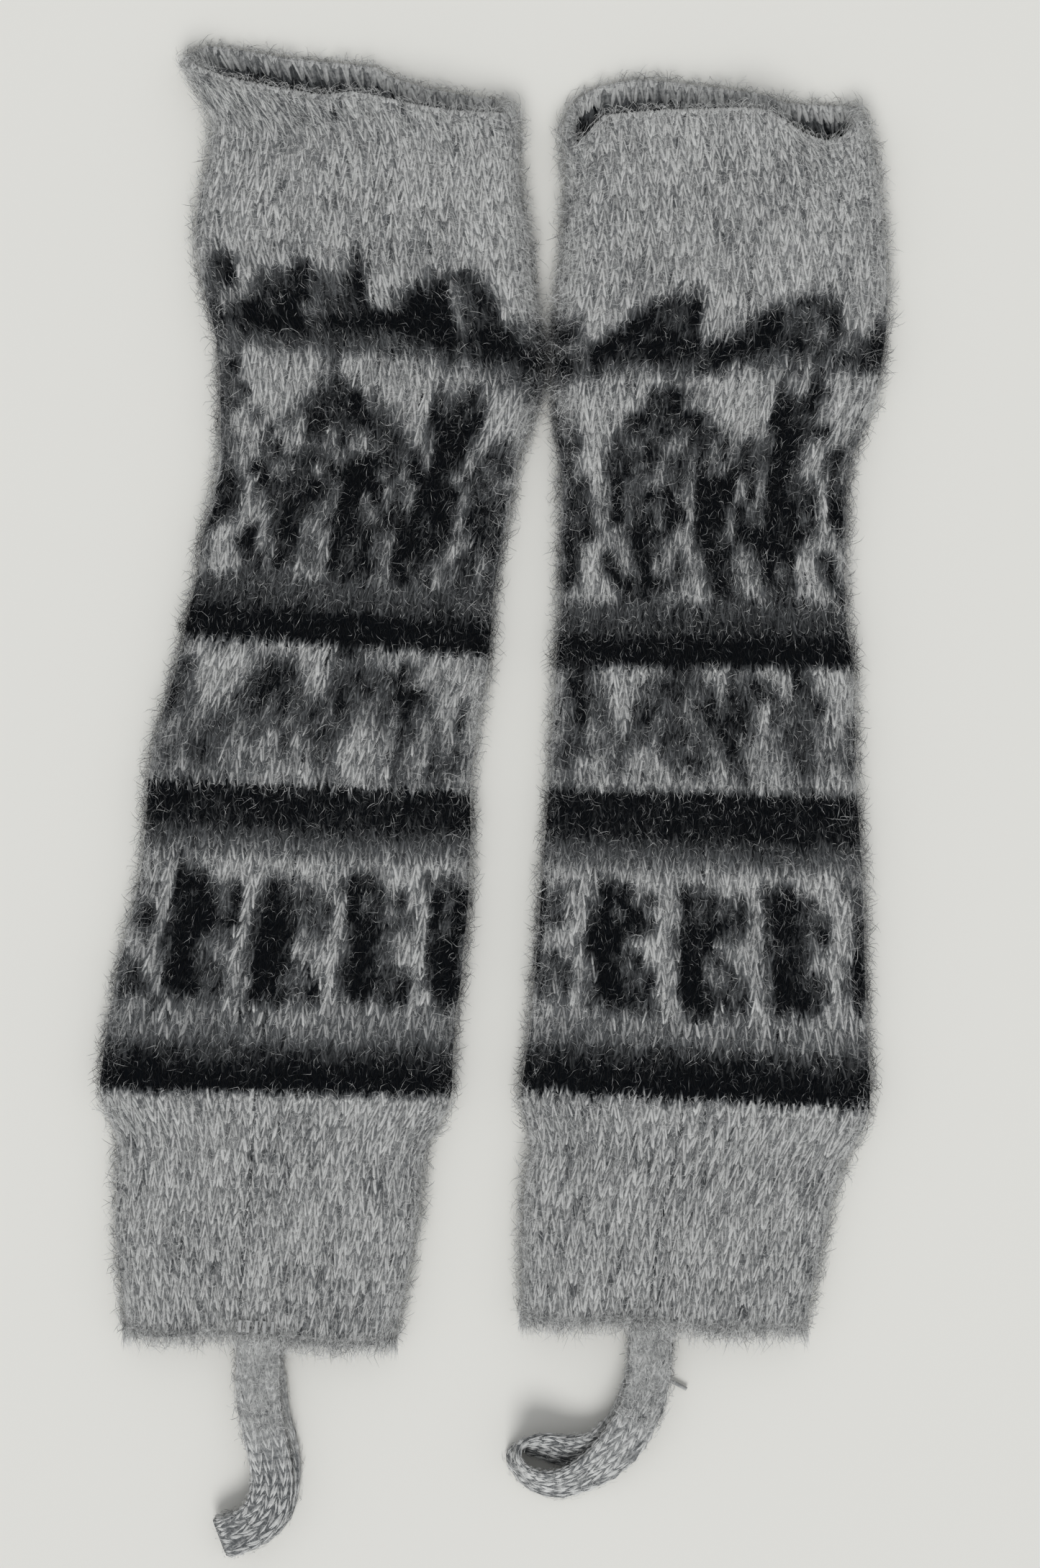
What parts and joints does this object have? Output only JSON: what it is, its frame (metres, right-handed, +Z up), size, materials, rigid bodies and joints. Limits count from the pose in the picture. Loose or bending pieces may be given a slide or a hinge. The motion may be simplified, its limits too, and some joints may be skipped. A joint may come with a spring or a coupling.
{
  "type": "knitted stirrup leg warmers",
  "caption": "Pair of brushed knitted stirrup leg warmers lying flat, tubes with patterned bands, turned-in top hems and stirrup straps.",
  "frame": {"origin": "middle of the pair's footprint, on the surface it lies on", "axes": "+X across the pair from the left leg warmer to the right one, +Y along the tubes towards their mouths, +Z up"},
  "size_m": [0.329, 0.6218, 0.026],
  "materials": {
    "light_grey_yarn": "brushed melange knit",
    "charcoal_yarn": "brushed dark knit",
    "patterned_knit": "brushed two-colour knit",
    "sewing_yarn": "plied yarn"
  },
  "bodies": {
    "left_leg": {"left_plain_top": "light_grey_yarn", "left_upper_border": "charcoal_yarn", "left_figure_band": "patterned_knit", "left_middle_border": "charcoal_yarn", "left_peak_band": "patterned_knit", "left_lower_middle_border": "charcoal_yarn", "left_block_band": "patterned_knit", "left_lower_border": "charcoal_yarn", "left_plain_ankle": "light_grey_yarn", "left_hem_facing": "light_grey_yarn", "left_hem_roll": "light_grey_yarn", "left_cast_off_edge": "light_grey_yarn", "left_seam_yarn": "sewing_yarn", "left_strap_front_join": "sewing_yarn", "left_strap_back_join": "sewing_yarn"},
    "right_leg": {"right_plain_top": "light_grey_yarn", "right_upper_border": "charcoal_yarn", "right_figure_band": "patterned_knit", "right_middle_border": "charcoal_yarn", "right_peak_band": "patterned_knit", "right_lower_middle_border": "charcoal_yarn", "right_block_band": "patterned_knit", "right_lower_border": "charcoal_yarn", "right_plain_ankle": "light_grey_yarn", "right_hem_facing": "light_grey_yarn", "right_hem_roll": "light_grey_yarn", "right_cast_off_edge": "light_grey_yarn", "right_seam_yarn": "sewing_yarn", "right_strap_front_join": "sewing_yarn", "right_strap_back_join": "sewing_yarn"},
    "left_strap": {"left_stirrup_strap": "light_grey_yarn"},
    "right_strap": {"right_stirrup_strap": "light_grey_yarn", "right_yarn_tail": "sewing_yarn"}
  },
  "joints": [
    {"name": "legs_apart", "type": "slide", "parent": "left_leg", "child": "right_leg", "axis": [1, 0, 0], "range_m": [0, 0.15]},
    {"name": "left_strap_fold", "type": "hinge", "parent": "left_leg", "child": "left_strap", "pos_m": [-0.09896, -0.22598, 0.015], "axis": [-0.9986, 0.0523, 0], "range_deg": [0, 165]},
    {"name": "right_strap_fold", "type": "hinge", "parent": "right_leg", "child": "right_strap", "pos_m": [0.06465, -0.22072, 0.015], "axis": [-0.9986, 0.0523, 0], "range_deg": [0, 165]}
  ]
}
